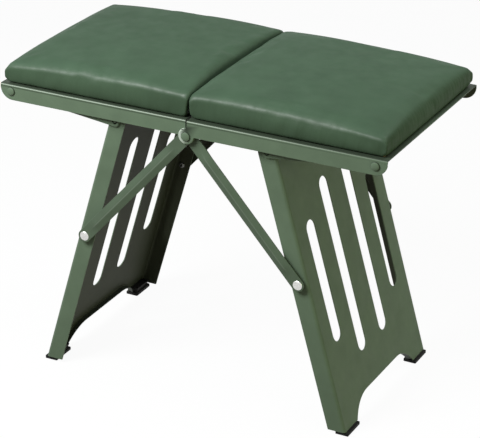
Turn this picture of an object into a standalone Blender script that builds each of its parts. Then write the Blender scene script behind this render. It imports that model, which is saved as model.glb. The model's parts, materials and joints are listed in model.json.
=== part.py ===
"""Folding stool: two padded seat halves on pressed steel pans, two slotted sheet-metal legs, links and braces.

Metres, +Z up, +X to the sitter's right, -Y to the front. The origin is on the floor under the seat's centre.
"""

import math

import bmesh
import bpy
from mathutils import Matrix, Vector

# Driving dimensions of the seat pans
HALF_LENGTH = 0.208
HALF_DEPTH = 0.1095
SEAT_TOP = 0.303
RAIL_HEIGHT = 0.0164
SHEET = 0.0012
CENTRE_GAP = 0.0009
PAN_BEND = 0.0028
RAIL_END_RADIUS = 0.013
LOBE_RADIUS = 0.0083

# Driving dimensions of the legs, measured on the outer face of the panel
LEG_SPLAY = math.radians(16.05)
LEG_FLOOR_X = 0.1713
FLANGE_DEPTH = 0.018
LEG_BEND = 0.0036
LEG_TOP_MARGIN = 0.009
FLANGE_TOP_RADIUS = 0.007
SLOT_WIDTH = 0.0170
INNER_SLOT_PLACE = 0.0250
INNER_SLOT_ENDS = (0.0595, 0.2440)
OUTER_SLOT_PLACE = 0.0683
OUTER_SLOT_ENDS = (0.0890, 0.2155)
ARCH_HEIGHT = 0.0230
ARCH_TOP_WIDTH = 0.1142
ARCH_FOOT_WIDTH = 0.1441
ARCH_RADIUS = 0.037
ARCH_LIP_DEPTH = 0.0065
ARCH_LIP_LOW = 0.0065

# Driving dimensions of the feet
FOOT_THICKNESS = 0.0032
FOOT_WIDTH = 0.0137
FOOT_OVERHANG = 0.0024
FOOT_TOE = 0.0021
FOOT_SIDE_INSET = 0.0016
FOOT_PLUG_HEIGHT = 0.005
FOOT_PLUG_WIDTH = 0.006

# Driving dimensions of the linkage
LINK_PIVOT_INSET = 0.0120
LINK_PIVOT_RISE = 0.0093
LEG_PIVOT_DROP = 0.0036
LEG_PIVOT_SETBACK = 0.0074
BRACE_PIVOT_HEIGHT = 0.1545
BRACE_PIVOT_SETBACK = 0.0086
LINK_WIDTH = 0.010
LINK_THICKNESS = 0.0020
BRACE_WIDTH = 0.0134
BRACE_DEPTH = 0.0040
BRACE_SHEET = 0.0015
BRACE_ROLL = 0.0016
BRACE_FLAT_AT_CENTRE = 0.021
BRACE_FLAT_AT_LEG = 0.0105
BRACE_RAMP = 0.006

# Driving dimensions of the rivets, bushes and screws
CLEARANCE = 0.0003
SHANK_RADIUS = 0.0024
CENTRE_HEAD_RADIUS = 0.0048
LINK_HEAD_RADIUS = 0.0044
BRACE_HEAD_RADIUS = 0.0050
TAIL_RADIUS = 0.0034
BUSH_RADIUS = 0.0042
HEAD_HEIGHT = 0.0018
RIVET_SIDES = 16
SCREW_RADIUS = 0.0016
SCREW_HEAD_RADIUS = 0.0038
SCREW_HEAD_HEIGHT = 0.0020
SCREW_REACH = 0.0030
SCREW_INSET_X = 0.042
SCREW_INSET_Y = 0.042

# Driving dimensions of the pads
PAD_END_INSET = 0.0022
PAD_CENTRE_INSET = 0.0004
PAD_SIDE_INSET = 0.0035
PAD_CORNER_HEIGHT = 0.0195
PAD_HINGE_RISE = 0.0040
PAD_EDGE_BULGE = 0.0050
PAD_CROWN = 0.0045
PAD_CORNER = 0.005
PAD_DRAW_IN = 0.0012
PAD_EDGE_ROUND = 0.0075
PAD_FOOT_TUCK = 0.0025
COVER_SKIN = 0.0010
BOARD_THICKNESS = 0.0040
BOARD_INSET = 0.0045

SIDES = {"left": -1, "right": 1}
FACES = {"front": -1, "rear": 1}

# Depths behind the right pan's outer face: the pans, then the braces, then the links, then the leg's flange
PAN_SET = {"right": 0.0, "left": SHEET + CLEARANCE}
BRACE_LAYER = PAN_SET["left"] + SHEET + CLEARANCE
LINK_LAYER = BRACE_LAYER + BRACE_DEPTH + CLEARANCE
FLANGE_LAYER = LINK_LAYER + LINK_THICKNESS + CLEARANCE
CENTRE_EYE_LAYER = {"left": BRACE_LAYER, "right": BRACE_LAYER + BRACE_SHEET + CLEARANCE}
LEG_EYE_LAYER = BRACE_LAYER + BRACE_DEPTH - BRACE_SHEET

# Pivots in (distance from the centre, height), the same on both sides
RAIL_LOW = SEAT_TOP - RAIL_HEIGHT
CENTRE_PIVOT = Vector((0.0, RAIL_LOW))
LINK_PIVOT = Vector((HALF_LENGTH - LINK_PIVOT_INSET, RAIL_LOW + LINK_PIVOT_RISE))


def leg_point(height, setback):
    """The point of the leg at a height, set back square from the panel's outer face."""
    return Vector((LEG_FLOOR_X - height * math.tan(LEG_SPLAY) - setback / math.cos(LEG_SPLAY), height))


LEG_PIVOT = leg_point(RAIL_LOW - LEG_PIVOT_DROP, LEG_PIVOT_SETBACK)
BRACE_PIVOT = leg_point(BRACE_PIVOT_HEIGHT, BRACE_PIVOT_SETBACK)

for old in list(bpy.data.objects):
    bpy.data.objects.remove(old)


# Materials
def finish(name, colour, roughness, metallic=0.0):
    material = bpy.data.materials.new(name)
    material.use_nodes = True
    shader = material.node_tree.nodes["Principled BSDF"]
    shader.inputs["Base Color"].default_value = (*colour, 1.0)
    shader.inputs["Roughness"].default_value = roughness
    shader.inputs["Metallic"].default_value = metallic
    return material


PAINT = finish("green_paint", (0.085, 0.125, 0.075), 0.45)
LEATHER = finish("green_leatherette", (0.060, 0.125, 0.080), 0.42)
STEEL = finish("bright_steel", (0.62, 0.62, 0.60), 0.28, 1.0)
RUBBER = finish("black_rubber", (0.012, 0.012, 0.012), 0.75)
FOAM = finish("foam", (0.70, 0.62, 0.38), 0.95)
PLYWOOD = finish("plywood", (0.52, 0.38, 0.22), 0.80)


# Placing
def spot(side, face, x, depth, z):
    """World point from the distance to the centre, the depth behind the outer face, and the height."""
    return Vector((SIDES[side] * x, FACES[face] * (HALF_DEPTH - depth), z))


def add_body(name, pivot):
    """An empty on the axis that a group of pieces turns about."""
    empty = bpy.data.objects.new(name, None)
    empty.location = pivot
    bpy.context.scene.collection.objects.link(empty)
    return empty


BODIES = {"left_seat": add_body("left_seat", Vector((0.0, 0.0, CENTRE_PIVOT.y)))}
BODIES["right_seat"] = add_body("right_seat", Vector((0.0, 0.0, CENTRE_PIVOT.y)))
for half, sign in SIDES.items():
    BODIES[half + "_links"] = add_body(half + "_links", Vector((sign * LINK_PIVOT.x, 0.0, LINK_PIVOT.y)))
    BODIES[half + "_leg"] = add_body(half + "_leg", Vector((sign * LEG_PIVOT.x, 0.0, LEG_PIVOT.y)))
    BODIES[half + "_braces"] = add_body(half + "_braces", Vector((0.0, 0.0, CENTRE_PIVOT.y)))


def new_object(name, bm, material, body, smooth_angle=35.0):
    """Turns a bmesh in world coordinates into an object whose origin is its body's pivot."""
    bmesh.ops.remove_doubles(bm, verts=bm.verts, dist=1e-7)
    bmesh.ops.recalc_face_normals(bm, faces=bm.faces)
    bm.transform(Matrix.Translation(-BODIES[body].location))
    mesh = bpy.data.meshes.new(name)
    bm.to_mesh(mesh)
    bm.free()
    mesh.shade_smooth()
    mesh.set_sharp_from_angle(angle=math.radians(smooth_angle))
    mesh.materials.append(material)
    piece = bpy.data.objects.new(name, mesh)
    piece.parent = BODIES[body]
    bpy.context.scene.collection.objects.link(piece)
    return piece


def add_boolean(piece, bm, operation, body):
    """Joins or cuts a piece with a hidden tool shape."""
    tool = new_object(f"{piece.name}_{operation.lower()}_tool", bm, PAINT, body)
    tool.hide_render = True
    tool.display_type = "WIRE"
    modifier = piece.modifiers.new(operation.title(), "BOOLEAN")
    modifier.operation = operation
    modifier.solver = "EXACT"
    modifier.object = tool


# Basic shapes
def arc(centre, radius, start, stop, steps):
    """Points along an arc, with its angles in degrees."""
    angles = [math.radians(start + (stop - start) * i / steps) for i in range(steps + 1)]
    return [Vector((centre[0] + radius * math.cos(a), centre[1] + radius * math.sin(a))) for a in angles]


def add_prism(bm, outline, place, low, high):
    """Extrudes a flat outline from one level to another; place maps (u, v, level) to the world."""
    base = [bm.verts.new(place(u, v, low)) for u, v in outline]
    face = bm.faces.new(base)
    top = bmesh.ops.extrude_face_region(bm, geom=[face])
    raised = [v for v in top["geom"] if isinstance(v, bmesh.types.BMVert)]
    lift = place(*outline[0], high) - place(*outline[0], low)
    bmesh.ops.translate(bm, verts=raised, vec=lift)


def add_loft(bm, rings, closed_ends=True):
    """Bridges rings of points that all have the same count; a ring of one point is a pole."""
    loops = [[bm.verts.new(p) for p in ring] for ring in rings]
    for first, second in zip(loops, loops[1:]):
        count = max(len(first), len(second))
        for i in range(count):
            j = (i + 1) % count
            a, b = first[i % len(first)], first[j % len(first)]
            c, d = second[j % len(second)], second[i % len(second)]
            bm.faces.new([v for k, v in enumerate((a, b, c, d)) if v not in (a, b, c, d)[:k]])
    if closed_ends:
        for loop in (loops[0], loops[-1]):
            if len(loop) > 2:
                bm.faces.new(loop)


def add_turned(bm, profile, side, face, pivot):
    """Turns a profile of (radius, depth) points about a pivot's axis; a radius of 0 closes on the axis."""
    rings = []
    for radius, depth in profile:
        if radius == 0.0:
            rings.append([spot(side, face, pivot.x, depth, pivot.y)])
            continue
        circle = arc(pivot, radius, 0.0, 360.0, RIVET_SIDES)[:-1]
        rings.append([spot(side, face, p.x, depth, p.y) for p in circle])
    if len(rings[0]) > 1 and len(rings[-1]) > 1:
        add_loft(bm, rings + rings[:1], closed_ends=False)
    else:
        add_loft(bm, rings)


def add_bore(bm, radius, side, face, pivot, near, far):
    """A round cutter along a pivot's axis between two depths."""
    add_turned(bm, [(0.0, near), (radius, near), (radius, far), (0.0, far)], side, face, pivot)


# Seat pans: a channel with turned-down rails that have hinge lobes at the centre and round ends
def channel_outline(half_width, base, tip, bend):
    """A U section in (across, level): the web's outer face at base, the flange edges at tip."""
    turn = 1.0 if tip > base else -1.0
    level = base + turn * bend
    inner = bend - SHEET
    corner = []
    for radius, reach in ((bend, half_width), (inner, half_width - SHEET)):
        quarter = [(reach - radius + radius * math.cos(a), level - turn * radius * math.sin(a))
                   for a in (math.radians(30.0 * i) for i in range(4))]
        corner.append(quarter)
    outer_side = [(half_width, tip)] + corner[0]
    inner_side = [(half_width - SHEET, tip)] + corner[1]
    mirrored = [(-u, v) for u, v in reversed(outer_side)]
    back = [(-u, v) for u, v in inner_side]
    return outer_side + mirrored + back + list(reversed(inner_side))


def screw_places():
    near = CENTRE_GAP + SCREW_INSET_X
    far = HALF_LENGTH - SCREW_INSET_X
    wide = HALF_DEPTH - SCREW_INSET_Y
    return [(x, y) for x in (near, far) for y in (-wide, wide)]


def make_seat_pan(side):
    sign = SIDES[side]
    body = side + "_seat"
    outer = PAN_SET[side]
    inner = outer + SHEET
    half_width = HALF_DEPTH - outer

    def across(u, v, level):
        return Vector((sign * level, u, v))

    bm = bmesh.new()
    add_prism(bm, channel_outline(half_width, SEAT_TOP, RAIL_LOW, PAN_BEND), across, CENTRE_GAP, HALF_LENGTH)
    pan = new_object(side + "_seat_pan", bm, PAINT, body)

    joined = bmesh.new()
    for face in FACES:
        add_turned(joined, [(0.0, outer), (LOBE_RADIUS, outer), (LOBE_RADIUS, inner), (0.0, inner)],
                   side, face, CENTRE_PIVOT)
    add_boolean(pan, joined, "UNION", body)

    cuts = bmesh.new()
    margin = 2 * SHEET
    corner = (HALF_LENGTH - RAIL_END_RADIUS, RAIL_LOW + RAIL_END_RADIUS)
    rounding = arc(corner, RAIL_END_RADIUS, -90.0, 0.0, 8)
    rounding += [Vector((HALF_LENGTH + margin, corner[1])), Vector((HALF_LENGTH + margin, RAIL_LOW - margin)),
                 Vector((corner[0], RAIL_LOW - margin))]
    for face in FACES:
        add_prism(cuts, rounding, lambda u, v, level, f=face: spot(side, f, u, level, v),
                  outer - margin, outer + PAN_BEND + CLEARANCE)
        for pivot in (CENTRE_PIVOT, LINK_PIVOT):
            add_bore(cuts, SHANK_RADIUS + CLEARANCE, side, face, pivot, outer - margin, inner + SHEET / 2)
    for x, y in screw_places():
        hole = arc((x, y), SCREW_RADIUS + CLEARANCE, 0.0, 360.0, 10)[:-1]
        add_prism(cuts, hole, lambda u, v, level: Vector((sign * u, v, level)),
                  SEAT_TOP - margin, SEAT_TOP + margin)
    add_boolean(pan, cuts, "DIFFERENCE", body)


# Pads: a plywood board, a foam core and a cover that is open underneath
PAD_LOW = SEAT_TOP + CLEARANCE
PAD_START = CENTRE_GAP + PAD_CENTRE_INSET
PAD_END = HALF_LENGTH - PAD_END_INSET


def pad_ring(side, inset, z):
    """A rounded rectangle round the pad whose long sides draw in between the corners."""
    half_x = (PAD_END - PAD_START) / 2 - inset
    half_y = HALF_DEPTH - PAD_SIDE_INSET - inset
    middle = SIDES[side] * (PAD_START + PAD_END) / 2
    radius = max(PAD_CORNER - inset, PAD_CORNER / 4)
    ring = []
    for quarter, (sx, sy) in enumerate(((1, 1), (-1, 1), (-1, -1), (1, -1))):
        centre = (sx * (half_x - radius), sy * (half_y - radius))
        ring += arc(centre, radius, 90.0 * quarter, 90.0 * quarter + 90.0, 3)
        if quarter % 2 == 0:
            ring += [Vector((sx * (half_x - radius) * t, sy * half_y)) for t in (0.6, 0.2, -0.2, -0.6)]
        else:
            ring += [Vector((sx * half_x, sy * (half_y - radius) * t)) for t in (0.6, 0.2, -0.2, -0.6)]
    points = []
    for p in ring:
        pull_x = PAD_DRAW_IN * max(0.0, 1.0 - (p.y / half_y) ** 2) * abs(p.x) / half_x
        pull_y = PAD_DRAW_IN * max(0.0, 1.0 - (p.x / half_x) ** 2) * abs(p.y) / half_y
        x = p.x - math.copysign(pull_x, p.x)
        y = p.y - math.copysign(pull_y, p.y)
        points.append(Vector((middle + x, y, z)))
    return points


def pad_lift(side, point):
    """How far the pad's top stands above its outer corners: it rises to the hinge, bulges and is crowned."""
    half_x = (PAD_END - PAD_START) / 2
    x = SIDES[side] * point.x / half_x - (PAD_START + PAD_END) / (2 * half_x)
    y = point.y / (HALF_DEPTH - PAD_SIDE_INSET)
    bulge = PAD_EDGE_BULGE * (1.0 - x * x * y * y)
    return bulge + PAD_HINGE_RISE * (1.0 - x) / 2 + PAD_CROWN * (1.0 - x * x) * (1.0 - y * y)


def pad_dome(side, skin):
    """Rings from the pad's lower edge up its side, round its top edge and over its crown."""
    top = PAD_LOW + PAD_CORNER_HEIGHT - skin
    turn = PAD_EDGE_ROUND
    rings = []
    for degrees in (0.0, 30.0, 60.0, 90.0):
        angle = math.radians(degrees)
        rings.append(pad_ring(side, skin + turn * (1.0 - math.cos(angle)), top - turn + turn * math.sin(angle)))
    reach = (PAD_END - PAD_START) / 2 - turn - skin
    for share in (0.2, 0.4, 0.6, 0.8):
        rings.append(pad_ring(side, skin + turn + reach * share, top))
    middle = SIDES[side] * (PAD_START + PAD_END) / 2
    rings.append([Vector((middle, 0.0, top))])
    for ring in rings:
        for point in ring:
            point.z += pad_lift(side, point)
    return rings


def make_pad(side):
    sign = SIDES[side]
    body = side + "_seat"
    board_top = PAD_LOW + BOARD_THICKNESS

    board = bmesh.new()
    add_loft(board, [pad_ring(side, BOARD_INSET, z) for z in (PAD_LOW, board_top)])
    panel = new_object(side + "_pad_board", board, PLYWOOD, body)
    holes = bmesh.new()
    for x, y in screw_places():
        hole = arc((x, y), SCREW_RADIUS + CLEARANCE, 0.0, 360.0, 10)[:-1]
        add_prism(holes, hole, lambda u, v, level: Vector((sign * u, v, level)),
                  PAD_LOW - SHEET, board_top + SHEET)
    add_boolean(panel, holes, "DIFFERENCE", body)

    foam = bmesh.new()
    skin = COVER_SKIN + CLEARANCE
    foam_low = [pad_ring(side, skin + PAD_FOOT_TUCK, board_top + CLEARANCE)]
    add_loft(foam, foam_low + pad_dome(side, skin))
    new_object(side + "_pad_foam", foam, FOAM, body)

    cover = bmesh.new()
    inside = pad_dome(side, COVER_SKIN)[::-1]
    tuck = PAD_FOOT_TUCK
    rim = [pad_ring(side, COVER_SKIN + tuck, PAD_LOW), pad_ring(side, tuck, PAD_LOW)]
    add_loft(cover, inside + rim + pad_dome(side, 0.0))
    new_object(side + "_pad_cover", cover, LEATHER, body, 60.0)

    for number, (x, y) in enumerate(screw_places(), 1):
        low = SEAT_TOP - SHEET - CLEARANCE
        rings = []
        for radius, z in ((SCREW_HEAD_RADIUS * 0.6, low - SCREW_HEAD_HEIGHT),
                          (SCREW_HEAD_RADIUS, low - SCREW_HEAD_HEIGHT * 0.45), (SCREW_HEAD_RADIUS, low),
                          (SCREW_RADIUS, low), (SCREW_RADIUS, PAD_LOW + SCREW_REACH)):
            circle = arc((sign * x, y), radius, 0.0, 360.0, 10)[:-1]
            rings.append([Vector((p.x, p.y, z)) for p in circle])
        screw = bmesh.new()
        add_loft(screw, rings)
        new_object(f"{side}_pad_screw_{number}", screw, STEEL, body)


# Legs: a slotted panel with two side flanges and a lip round the arch, standing on four rubber feet
LEG_UP = Vector((-math.sin(LEG_SPLAY), math.cos(LEG_SPLAY)))
LEG_IN = Vector((-math.cos(LEG_SPLAY), -math.sin(LEG_SPLAY)))
LEG_HALF_WIDTH = HALF_DEPTH - FLANGE_LAYER
LEG_LOW = FOOT_THICKNESS + CLEARANCE
LEG_TOP_LENGTH = LEG_PIVOT.y / math.cos(LEG_SPLAY) + LEG_TOP_MARGIN


def leg_spot(side, y, length, inward):
    """World point from the place along the leg, measured from the floor on the outer face, and square to it."""
    flat = Vector((LEG_FLOOR_X, 0.0)) + LEG_UP * length + LEG_IN * inward
    return Vector((SIDES[side] * flat.x, y, flat.y))


def arch_outline(offset, low):
    """The arch between the feet, widened by an offset and carried down to a place along the leg."""
    slope = math.atan2(ARCH_HEIGHT, (ARCH_FOOT_WIDTH - ARCH_TOP_WIDTH) / 2)
    bend = (ARCH_TOP_WIDTH / 2 - ARCH_RADIUS * math.tan(slope / 2), ARCH_HEIGHT - ARCH_RADIUS)
    foot = ARCH_FOOT_WIDTH / 2 + offset / math.sin(slope) - low / math.tan(slope)
    half = [Vector((foot, low))] + arc(bend, ARCH_RADIUS + offset, 90.0 - math.degrees(slope), 90.0, 6)
    return half + [Vector((-p.x, p.y)) for p in reversed(half)]


def make_leg(side):
    body = side + "_leg"
    section = channel_outline(LEG_HALF_WIDTH, 0.0, FLANGE_DEPTH, LEG_BEND)
    foot_ring = []
    for y, inward in section:
        length = (LEG_LOW - LEG_IN.y * inward) / LEG_UP.y
        foot_ring.append(leg_spot(side, y, length, inward))
    top_ring = [leg_spot(side, y, LEG_TOP_LENGTH, inward) for y, inward in section]
    bm = bmesh.new()
    add_loft(bm, [foot_ring, top_ring])
    panel = new_object(side + "_leg_panel", bm, PAINT, body)

    def through(u, v, level):
        return leg_spot(side, u, v, level)

    lip = bmesh.new()
    add_prism(lip, arch_outline(SHEET, ARCH_LIP_LOW), through, SHEET / 2, ARCH_LIP_DEPTH)
    add_boolean(panel, lip, "UNION", body)

    cuts = bmesh.new()
    out, deep = -2 * SHEET, 3 * SHEET
    radius = SLOT_WIDTH / 2
    for place, (low, high) in ((INNER_SLOT_PLACE, INNER_SLOT_ENDS), (OUTER_SLOT_PLACE, OUTER_SLOT_ENDS)):
        for sign in FACES.values():
            y = sign * place
            slot = arc((y, high - radius), radius, 0.0, 180.0, 8) + arc((y, low + radius), radius, 180.0, 360.0, 8)
            add_prism(cuts, slot, through, out, deep)
    add_prism(cuts, arch_outline(0.0, -6 * SHEET), through, out, ARCH_LIP_DEPTH + 2 * SHEET)
    for face in FACES:
        for pivot in (LEG_PIVOT, BRACE_PIVOT):
            add_bore(cuts, SHANK_RADIUS + CLEARANCE, side, face, pivot, LINK_LAYER, FLANGE_LAYER + 2 * SHEET)
    tip = (FLANGE_DEPTH - FLANGE_TOP_RADIUS, LEG_TOP_LENGTH - FLANGE_TOP_RADIUS)
    rounding = arc(tip, FLANGE_TOP_RADIUS, 0.0, 90.0, 6)
    beyond = 2 * SHEET
    rounding += [Vector((tip[0], LEG_TOP_LENGTH + beyond)), Vector((FLANGE_DEPTH + beyond, LEG_TOP_LENGTH + beyond)),
                 Vector((FLANGE_DEPTH + beyond, tip[1]))]
    reach = LEG_HALF_WIDTH + beyond
    add_prism(cuts, rounding, lambda u, v, level: leg_spot(side, level, v, u), -reach, reach)
    add_boolean(panel, cuts, "DIFFERENCE", body)


def make_foot(side, face):
    body = side + "_leg"
    sign = FACES[face]
    inner_y = sign * (ARCH_FOOT_WIDTH / 2 - FOOT_TOE)
    outer_y = sign * (LEG_HALF_WIDTH - FOOT_SIDE_INSET)
    outer_x = LEG_FLOOR_X + FOOT_OVERHANG - LEG_LOW * math.tan(LEG_SPLAY)
    inner_x = outer_x - FOOT_WIDTH

    def along(u, v, level):
        return Vector((SIDES[side] * u, level, v))

    plate = [(outer_x, 0.0), (outer_x, FOOT_THICKNESS), (inner_x, FOOT_THICKNESS), (inner_x, 0.0)]
    bm = bmesh.new()
    add_prism(bm, plate, along, inner_y, outer_y)
    foot = new_object(f"{side}_foot_{face}", bm, RUBBER, body)

    plug = []
    for height in (FOOT_THICKNESS / 2, LEG_LOW + FOOT_PLUG_HEIGHT):
        back = leg_point(height, SHEET + CLEARANCE)
        plug.append([(back.x, height), (back.x - FOOT_PLUG_WIDTH, height)])
    outline = [plug[0][0], plug[1][0], plug[1][1], plug[0][1]]
    joined = bmesh.new()
    add_prism(joined, outline, along, sign * (ARCH_FOOT_WIDTH / 2 + LEG_BEND), sign * (LEG_HALF_WIDTH - LEG_BEND))
    add_boolean(foot, joined, "UNION", body)


# Links: flat bars from the rail's outer end to the leg's top
def make_link(side, face):
    bar = LEG_PIVOT - LINK_PIVOT
    heading = math.degrees(math.atan2(bar.y, bar.x))
    radius = LINK_WIDTH / 2
    outline = arc(LEG_PIVOT, radius, heading - 90.0, heading + 90.0, 10)
    outline += arc(LINK_PIVOT, radius, heading + 90.0, heading + 270.0, 10)
    bm = bmesh.new()
    add_prism(bm, outline, lambda u, v, level: spot(side, face, u, level, v),
              LINK_LAYER, LINK_LAYER + LINK_THICKNESS)
    link = new_object(f"{side}_link_{face}", bm, PAINT, side + "_links")
    cuts = bmesh.new()
    for pivot in (LEG_PIVOT, LINK_PIVOT):
        add_bore(cuts, SHANK_RADIUS + CLEARANCE, side, face, pivot,
                 LINK_LAYER - SHEET, LINK_LAYER + LINK_THICKNESS + SHEET)
    add_boolean(link, cuts, "DIFFERENCE", side + "_links")


# Braces: pressed channels with rolled edges, flattened to eyes at both ends
def brace_section(half_width, web, tip):
    """A U section in (across, depth) that has the same count of points when it is flat."""
    wall = min(BRACE_SHEET, half_width * 0.3)
    roll = min(BRACE_ROLL, half_width * 0.4)
    bevel = roll * (1.0 - math.sqrt(0.5))
    soft = min(bevel, BRACE_SHEET * 0.3)
    outer = [(half_width, tip), (half_width, web + soft + bevel), (half_width - bevel, web + soft),
             (half_width - roll, web)]
    inner = [(half_width - wall, tip), (half_width - wall, web + BRACE_SHEET)]
    left_outer = [(-w, d) for w, d in reversed(outer)]
    left_inner = [(-w, d) for w, d in inner]
    return outer + left_outer + left_inner + list(reversed(inner))


def make_brace(side, face):
    body = side + "_braces"
    bar = BRACE_PIVOT - CENTRE_PIVOT
    length = bar.length
    run = bar.normalized()
    aside = Vector((-run.y, run.x))
    half = BRACE_WIDTH / 2
    lip = BRACE_SHEET + 0.2 * CLEARANCE
    near, far = CENTRE_EYE_LAYER[side], LEG_EYE_LAYER
    deep = BRACE_LAYER + BRACE_DEPTH

    stations = []
    for degrees in (8.0, 30.0, 55.0):
        angle = math.radians(degrees)
        stations.append((-half * math.cos(angle), half * math.sin(angle), near, near + lip))
    stations += [(0.0, half, near, near + lip), (BRACE_FLAT_AT_CENTRE, half, near, near + lip),
                 (BRACE_FLAT_AT_CENTRE + BRACE_RAMP, half, BRACE_LAYER, deep),
                 (length - BRACE_FLAT_AT_LEG - BRACE_RAMP, half, BRACE_LAYER, deep),
                 (length - BRACE_FLAT_AT_LEG, half, far, far + lip), (length, half, far, far + lip)]
    for degrees in (55.0, 30.0, 8.0):
        angle = math.radians(degrees)
        stations.append((length + half * math.cos(angle), half * math.sin(angle), far, far + lip))

    rings = []
    for along, half_width, web, tip in stations:
        centre = CENTRE_PIVOT + run * along
        points = [(centre + aside * w, d) for w, d in brace_section(half_width, web, min(tip, deep))]
        rings.append([spot(side, face, p.x, d, p.y) for p, d in points])
    bm = bmesh.new()
    add_loft(bm, rings)
    brace = new_object(f"{side}_brace_{face}", bm, PAINT, body)
    cuts = bmesh.new()
    for pivot, layer in ((CENTRE_PIVOT, near), (BRACE_PIVOT, far)):
        add_bore(cuts, SHANK_RADIUS + CLEARANCE, side, face, pivot, layer - SHEET, layer + BRACE_SHEET + SHEET)
    add_boolean(brace, cuts, "DIFFERENCE", body)


# Rivets and bushes
def domed_head(radius, seat, outward):
    """Profile of a low round head that stands on a seat depth; outward is -1 towards the outer face."""
    return [(0.0, seat + outward * HEAD_HEIGHT), (radius * 0.55, seat + outward * HEAD_HEIGHT * 0.88),
            (radius * 0.9, seat + outward * HEAD_HEIGHT * 0.5), (radius, seat)]


def make_rivet(name, body, material, side, face, pivot, head, tail):
    """A rivet with a head seat and a tail, each (radius, depth); a tail radius of 0 ends flush."""
    profile = domed_head(head[0], head[1], -1.0) + [(SHANK_RADIUS, head[1])]
    if tail[0] > 0.0:
        profile += [(SHANK_RADIUS, tail[1])] + list(reversed(domed_head(tail[0], tail[1], 1.0)))
    else:
        profile += [(SHANK_RADIUS, tail[1]), (0.0, tail[1])]
    bm = bmesh.new()
    add_turned(bm, profile, side, face, pivot)
    new_object(name, bm, material, body)


def make_bush(name, body, side, face, pivot, profile):
    bm = bmesh.new()
    add_turned(bm, profile, side, face, pivot)
    new_object(name, bm, STEEL, body)


def make_fixings(side, face):
    bore = SHANK_RADIUS + CLEARANCE
    link_far = LINK_LAYER + LINK_THICKNESS
    flange_far = FLANGE_LAYER + SHEET
    make_rivet(f"{side}_link_rivet_{face}", side + "_seat", PAINT, side, face, LINK_PIVOT,
               (LINK_HEAD_RADIUS, PAN_SET[side] - CLEARANCE), (0.0, link_far))
    start = PAN_SET[side] + SHEET + CLEARANCE
    stop = LINK_LAYER - CLEARANCE
    make_bush(f"{side}_link_bush_{face}", side + "_seat", side, face, LINK_PIVOT,
              [(bore, start), (BUSH_RADIUS, start), (BUSH_RADIUS, stop), (bore, stop)])

    leg_rivet = [(0.0, LINK_LAYER), (SHANK_RADIUS, LINK_LAYER), (SHANK_RADIUS, flange_far + CLEARANCE)]
    leg_rivet += list(reversed(domed_head(TAIL_RADIUS, flange_far + CLEARANCE, 1.0)))
    make_bush(f"{side}_leg_rivet_{face}", side + "_leg", side, face, LEG_PIVOT, leg_rivet)

    make_rivet(f"{side}_brace_rivet_{face}", side + "_braces", STEEL, side, face, BRACE_PIVOT,
               (BRACE_HEAD_RADIUS, LEG_EYE_LAYER - CLEARANCE), (0.0, LEG_EYE_LAYER + BRACE_SHEET))
    wall = SHANK_RADIUS * 0.5
    washer = LINK_LAYER + LINK_THICKNESS
    make_bush(f"{side}_brace_bush_{face}", side + "_leg", side, face, BRACE_PIVOT,
              [(wall, LINK_LAYER), (BUSH_RADIUS, LINK_LAYER), (BUSH_RADIUS, washer), (SHANK_RADIUS, washer),
               (SHANK_RADIUS, flange_far + CLEARANCE), (TAIL_RADIUS, flange_far + CLEARANCE),
               (TAIL_RADIUS * 0.8, flange_far + HEAD_HEIGHT), (wall, flange_far + HEAD_HEIGHT)])


def make_centre_rivet(face):
    far = CENTRE_EYE_LAYER["right"] + BRACE_SHEET + CLEARANCE
    make_rivet(f"centre_rivet_{face}", "left_seat", PAINT, "right", face, CENTRE_PIVOT,
               (CENTRE_HEAD_RADIUS, -CLEARANCE), (TAIL_RADIUS, far))


for half in SIDES:
    make_seat_pan(half)
    make_pad(half)
    make_leg(half)
    for end in FACES:
        make_foot(half, end)
        make_link(half, end)
        make_brace(half, end)
        make_fixings(half, end)
for end in FACES:
    make_centre_rivet(end)
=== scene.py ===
import json
import math

import bmesh
import bpy
from mathutils import Matrix, Vector, noise


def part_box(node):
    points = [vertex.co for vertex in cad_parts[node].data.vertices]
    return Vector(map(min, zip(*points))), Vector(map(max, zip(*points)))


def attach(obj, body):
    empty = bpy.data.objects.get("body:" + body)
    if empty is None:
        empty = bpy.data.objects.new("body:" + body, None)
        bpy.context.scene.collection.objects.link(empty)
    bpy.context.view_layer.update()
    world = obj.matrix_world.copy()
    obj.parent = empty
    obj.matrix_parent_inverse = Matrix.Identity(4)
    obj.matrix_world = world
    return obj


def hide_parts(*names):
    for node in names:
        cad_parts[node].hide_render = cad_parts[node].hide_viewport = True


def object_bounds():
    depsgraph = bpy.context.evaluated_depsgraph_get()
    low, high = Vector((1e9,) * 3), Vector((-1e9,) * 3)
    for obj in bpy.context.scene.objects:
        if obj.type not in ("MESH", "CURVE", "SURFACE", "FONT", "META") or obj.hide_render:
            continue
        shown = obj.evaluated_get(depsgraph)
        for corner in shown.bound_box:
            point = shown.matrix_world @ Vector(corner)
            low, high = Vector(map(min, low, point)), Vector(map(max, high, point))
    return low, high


# The stool's frame: two seat halves hinged at the middle, and under each half a sheet-metal leg that hangs
# on a pair of links and is stayed by a pair of braces. All the pieces below are built round its pivots.
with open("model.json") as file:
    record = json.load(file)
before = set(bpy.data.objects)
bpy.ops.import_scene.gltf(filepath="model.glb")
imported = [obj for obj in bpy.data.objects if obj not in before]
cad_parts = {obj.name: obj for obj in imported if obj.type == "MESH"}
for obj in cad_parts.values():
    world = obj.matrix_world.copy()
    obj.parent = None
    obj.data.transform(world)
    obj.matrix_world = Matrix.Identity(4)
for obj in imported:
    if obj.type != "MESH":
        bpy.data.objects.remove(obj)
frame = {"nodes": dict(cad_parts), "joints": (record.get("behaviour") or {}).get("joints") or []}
cad_low, cad_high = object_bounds()
SIDES = {"left": -1.0, "right": 1.0}
FACES = {"front": -1.0, "rear": 1.0}
pivots = {joint["name"]: Vector(joint["pos_m"]) for joint in frame["joints"]}
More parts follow.
